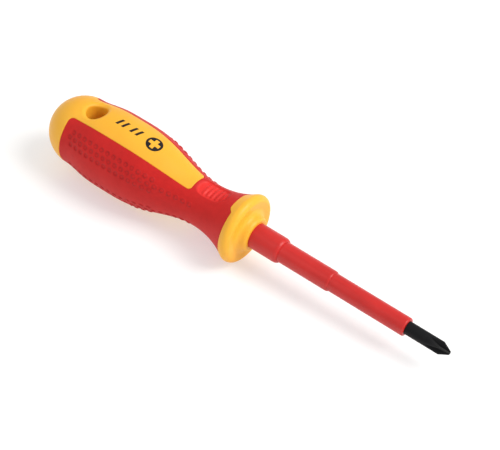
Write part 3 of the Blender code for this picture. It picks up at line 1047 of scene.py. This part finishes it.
def relief_tree(grip):
    """Return a node tree that presses dimples and a ribbed dish into the grip."""
    group = bpy.data.node_groups.new("grip_relief", "GeometryNodeTree")
    face = group.interface
    face.new_socket("Geometry", in_out="INPUT", socket_type="NodeSocketGeometry")
    numbers = {
        "Dimple Radius": grip.dimple_radius, "Dimple Depth": grip.dimple_depth,
        "Dimple Pitch": grip.dimple_pitch, "Dimple Start": grip.dimple_start,
        "Dish Depth": grip.dish_sink, "Dish Width": grip.dish_width,
        "Rib Pitch": grip.rib_pitch, "Rib Height": grip.rib_height, "Rib Start": grip.rib_start,
    }
    for name, number in numbers.items():
        socket = face.new_socket(name, in_out="INPUT", socket_type="NodeSocketFloat")
        socket.default_value = number
    face.new_socket("Material", in_out="INPUT", socket_type="NodeSocketMaterial")
    face.new_socket("Geometry", in_out="OUTPUT", socket_type="NodeSocketGeometry")
    tree = Tree(group)
    given = tree.add("NodeGroupInput")
    size = {name: Value(group, given.outputs[name]) for name in numbers}
    x, y, z = tree.axes(tree.add("GeometryNodeInputPosition").outputs[0])
    along = x - FRONT_X
    up = z - AXIS_HEIGHT
    radius = (y * y + up * up).math("SQRT")
    half_turn = abs(y).math("ARCTAN2", abs(up))
    side = 1.0 - along.eased(grip.pits_end - PITS_BLEND, grip.pits_end + PITS_BLEND) * 2.0
    relief = None
    pit_shade = None
    for row, count in enumerate((grip.dimple_count, grip.long_count, grip.dimple_count)):
        share = (along - size["Dimple Start"]) / size["Dimple Pitch"] - ROW_SHIFTS[row]
        nearest = share.math("ROUND").most(0.0).least(count - 1.0)
        ahead = (share - nearest) * size["Dimple Pitch"]
        aside = (half_turn - (grip.row_angle + row * grip.row_step)) * radius
        reach = ((ahead * ahead + aside * aside).math("SQRT") / size["Dimple Radius"]).least(1.0)
        cup = (reach.eased(*CUP) - 1.0) * size["Dimple Depth"] * side
        relief = cup if relief is None else relief + cup
        # A ring in each dimple's wall, where shade is painted darker in the material.
        wall = reach.eased(*WALL_RISE) * (1.0 - reach.eased(*WALL_FALL))
        pit_shade = wall if pit_shade is None else pit_shade.most(wall)
    middle = 0.5 * (grip.dish_back + grip.dish_front)
    reach_x = 0.5 * (grip.dish_front - grip.dish_back)
    from_middle = (along - middle) / reach_x
    across = y / size["Dish Width"]
    oval = from_middle ** 2.0 * from_middle ** 2.0 + across * across * (0.6 + 0.4 * (across * across))
    dish = 1.0 - oval.eased(*DISH_EDGE)
    # The painted highlight and the smoother skin of the thumb dish fade towards its front.
    rear = 1.0 - along.eased(grip.rib_start, grip.dish_front) * THUMB_FADE
    rib_share = (along - size["Rib Start"]) / size["Rib Pitch"]
    nearest_rib = rib_share.math("ROUND").most(0.0).least(grip.rib_count - 1.0)
    ridge = 1.0 - abs(rib_share - nearest_rib).eased(*RIB_FLANK)
    ribs = ridge * size["Rib Height"] * (1.0 - oval.eased(*RIB_ENDS))
    relief = relief + (ribs - size["Dish Depth"]) * dish
    outer = tree.add("GeometryNodeInputNamedAttribute", {"data_type": "FLOAT"}, Name="outer")
    height = relief * Value(group, outer.outputs[0])
    normal = tree.add("GeometryNodeInputNormal").outputs[0]
    offset = tree.add("ShaderNodeVectorMath", {"operation": "SCALE"}, at_0=normal, Scale=height)
    shape = given.outputs["Geometry"]
    shape = tree.add("GeometryNodeSetPosition", Geometry=shape, Offset=offset.outputs[0]).outputs[0]
    store = "GeometryNodeStoreNamedAttribute"
    # Marks for the material: painted shade in the dimples' walls, and a painted highlight in the thumb
    # dish that fades forward.
    for name, mark in {"pit_shade": pit_shade, "thumb": dish * rear}.items():
        settings = {"data_type": "FLOAT", "domain": "POINT"}
        shape = tree.add(store, settings, Geometry=shape, Name=name, Value=mark).outputs[0]
    shape = tree.add("GeometryNodeRealizeInstances", Geometry=shape).outputs[0]
    dressed = tree.add("GeometryNodeSetMaterial", Geometry=shape, Material=given.outputs["Material"])
    done = tree.add("NodeGroupOutput")
    group.links.new(dressed.outputs[0], done.inputs[0])
    return group


def through_nodes(mesh, group, material):
    """Run a mesh through a node tree and return the result as a plain mesh."""
    holder = bpy.data.objects.new(mesh.name + "_holder", mesh)
    bpy.context.scene.collection.objects.link(holder)
    modifier = holder.modifiers.new("relief", "NODES")
    modifier.node_group = group
    for item in group.interface.items_tree:
        if item.item_type == "SOCKET" and item.in_out == "INPUT" and item.name == "Material":
            modifier[item.identifier] = material
    bpy.context.view_layer.update()
    evaluated = holder.evaluated_get(bpy.context.evaluated_depsgraph_get())
    result = bpy.data.meshes.new_from_object(evaluated)
    holder.modifiers.clear()
    bpy.data.objects.remove(holder, do_unlink=True)
    return result


# Operators ------------------------------------------------------------------


class SCREWDRIVER_OT_blade(bpy.types.Operator):
    """Build the steel blade with its cross point"""

    bl_idname = "screwdriver.blade"
    bl_label = "Blade"

    def execute(self, context):
        scene = context.scene
        steel = black_steel(scene.driver_colours, scene.driver_blade)
        show("blade_fine", blade_mesh(scene.driver_blade), steel, "blade", slot_name="blade_steel")
        return {"FINISHED"}


class SCREWDRIVER_OT_insulation(bpy.types.Operator):
    """Build the blade's insulation and the nose of the core behind it"""

    bl_idname = "screwdriver.insulation"
    bl_label = "Insulation"

    def execute(self, context):
        scene = context.scene
        sizes = scene.driver_sleeve
        bore = scene.driver_blade.shank_radius + SNUG
        tube = lathe("sleeve_red", sleeve_outline(sizes, bore), LATHE_COLUMNS)
        red = insulation_red("sleeve_plastic", scene.driver_colours, 0.27)
        show("blade_sleeve_fine", tube, red, "blade_sleeve", slot_name="insulation_red")
        nose = lathe("nose_red", nose_outline(sizes), LATHE_COLUMNS)
        hard_red = insulation_red("core_plastic", scene.driver_colours, 0.30)
        show("core_nose_fine", nose, hard_red, "inner_core", slot_name="core_red")
        return {"FINISHED"}


class SCREWDRIVER_OT_handle(bpy.types.Operator):
    """Build the yellow handle body"""

    bl_idname = "screwdriver.handle"
    bl_label = "Handle body"

    def execute(self, context):
        scene = context.scene
        mesh = handle_mesh(scene.driver_handle, scene.driver_sleeve, scene.driver_grip)
        yellow = yellow_plastic(scene.driver_colours)
        show("handle_body_fine", mesh, yellow, "handle_body", slot_name="handle_yellow")
        return {"FINISHED"}


class SCREWDRIVER_OT_grip(bpy.types.Operator):
    """Build the soft grip and press its dimples and ribs"""

    bl_idname = "screwdriver.grip"
    bl_label = "Grip"

    def execute(self, context):
        scene = context.scene
        points, faces, outer = grip_mesh(scene.driver_handle, scene.driver_grip)
        mesh = bpy.data.meshes.new("grip_plain")
        mesh.from_pydata([tuple(point) for point in points + (FRONT_X, 0.0, AXIS_HEIGHT)], [], faces)
        mesh.validate()
        mark = mesh.attributes.new("outer", "FLOAT", "POINT")
        mark.data.foreach_set("value", outer.astype(float))
        mesh.shade_smooth()
        red = soft_red(scene.driver_colours)
        shaped = through_nodes(mesh, relief_tree(scene.driver_grip), red)
        show("grip_fine", shaped, red, "grip", slot_name="grip_red")
        return {"FINISHED"}


WORLD_STRENGTH = 0.66
# Each light's power in watts, its size, where it hangs and its colour
LIGHTS = {
    "key": (8.5, 0.55, (0.56, 0.24, 0.82), (1.0, 0.985, 0.96)),
    "fill": (1.1, 0.90, (-0.70, -0.50, 0.75), (1.0, 1.0, 1.0)),
    "front": (0.6, 0.50, (0.95, -0.12, 0.34), (1.0, 1.0, 1.0)),
}


def add_light(name, energy, size, spot, tint):
    """Add a soft area light at a spot, facing the middle of the tool."""
    light = bpy.data.lights.new(name, "AREA")
    light.energy = energy
    light.size = size
    light.color = tint
    lamp = bpy.data.objects.new(name, light)
    bpy.context.scene.collection.objects.link(lamp)
    lamp.location = spot
    facing = Vector((0.0, 0.0, AXIS_HEIGHT)) - Vector(spot)
    lamp.rotation_euler = facing.to_track_quat("-Z", "Y").to_euler()


class SCREWDRIVER_OT_stage(bpy.types.Operator):
    """Build the floor, the lights and the camera"""

    bl_idname = "screwdriver.stage"
    bl_label = "Stage"

    def execute(self, context):
        scene = context.scene
        sizes = scene.driver_stage
        handle = scene.driver_handle
        self.add_floor(scene, sizes, handle)
        world = bpy.data.worlds.new("studio")
        world.use_nodes = True
        background = world.node_tree.nodes["Background"]
        background.inputs["Color"].default_value = (1.0, 1.0, 1.0, 1.0)
        background.inputs["Strength"].default_value = WORLD_STRENGTH
        scene.world = world
        scene.view_settings.view_transform = "Standard"
        for name, light in LIGHTS.items():
            add_light(name, *light)
        self.add_camera(scene, sizes)
        return {"FINISHED"}

    def add_floor(self, scene, sizes, handle):
        """Lay the floor against the belly and the collar, on which the tool lies."""
        run = handle.collar_x - handle.belly_x
        slope = math.atan2(BELLY_RADIUS - COLLAR_RADIUS, run)
        shape = bmesh.new()
        bmesh.ops.create_circle(shape, cap_ends=True, segments=96, radius=sizes.floor_radius)
        contact = Vector((FRONT_X + handle.belly_x, 0.0, AXIS_HEIGHT - BELLY_RADIUS - FLOOR_CLEARANCE))
        bmesh.ops.transform(
            shape, verts=shape.verts,
            matrix=Matrix.Translation(contact) @ Matrix.Rotation(-slope, 4, "Y"),
        )
        mesh = bpy.data.meshes.new("studio_floor")
        shape.to_mesh(mesh)
        shape.free()
        mesh.materials.append(pale_floor(scene.driver_colours))
        floor = bpy.data.objects.new("studio_floor", mesh)
        scene.collection.objects.link(floor)

    def add_camera(self, scene, sizes):
        """Aim the camera so that the handle's front lies a little off centre."""
        turn = Matrix.Rotation(sizes.azimuth, 4, "Z")
        turn = turn @ Matrix.Rotation(QUARTER_TURN - sizes.elevation, 4, "X")
        turn = turn @ Matrix.Rotation(sizes.roll, 4, "Z")
        front = Vector((FRONT_X, 0.0, AXIS_HEIGHT))
        lens = bpy.data.cameras.new("camera")
        lens.lens = sizes.lens
        lens.clip_end = 20.0
        spot = front + turn @ Vector((sizes.aside, sizes.above, sizes.distance))
        camera = bpy.data.objects.new("camera", lens)
        scene.collection.objects.link(camera)
        camera.matrix_world = Matrix.Translation(spot) @ turn
        scene.camera = camera


class SCREWDRIVER_PT_panel(bpy.types.Panel):
    """Lists the pieces of the screwdriver"""

    bl_idname = "SCREWDRIVER_PT_panel"
    bl_label = "Insulated screwdriver"
    bl_space_type = "VIEW_3D"
    bl_region_type = "UI"
    bl_category = "Screwdriver"

    def draw(self, context):
        for operator in OPERATORS:
            self.layout.operator(operator.bl_idname)


GROUPS = {
    "driver_blade": BladeSizes,
    "driver_sleeve": SleeveSizes,
    "driver_handle": HandleSizes,
    "driver_grip": GripSizes,
    "driver_colours": Colours,
    "driver_stage": StageSizes,
}
OPERATORS = (
    SCREWDRIVER_OT_blade,
    SCREWDRIVER_OT_insulation,
    SCREWDRIVER_OT_handle,
    SCREWDRIVER_OT_grip,
    SCREWDRIVER_OT_stage,
)


def register():
    """Register the groups, the operators and the panel."""
    for name, group in GROUPS.items():
        bpy.utils.register_class(group)
        setattr(bpy.types.Scene, name, PointerProperty(type=group))
    for operator in OPERATORS:
        bpy.utils.register_class(operator)
    bpy.utils.register_class(SCREWDRIVER_PT_panel)


def unregister():
    """Undo register."""
    bpy.utils.unregister_class(SCREWDRIVER_PT_panel)
    for operator in reversed(OPERATORS):
        bpy.utils.unregister_class(operator)
    for name, group in reversed(GROUPS.items()):
        delattr(bpy.types.Scene, name)
        bpy.utils.unregister_class(group)


def main():
    """Build every piece and the stage."""
    register()
    bpy.ops.screwdriver.blade()
    bpy.ops.screwdriver.insulation()
    bpy.ops.screwdriver.handle()
    bpy.ops.screwdriver.grip()
    bpy.ops.screwdriver.stage()


if __name__ == "__main__":
    main()
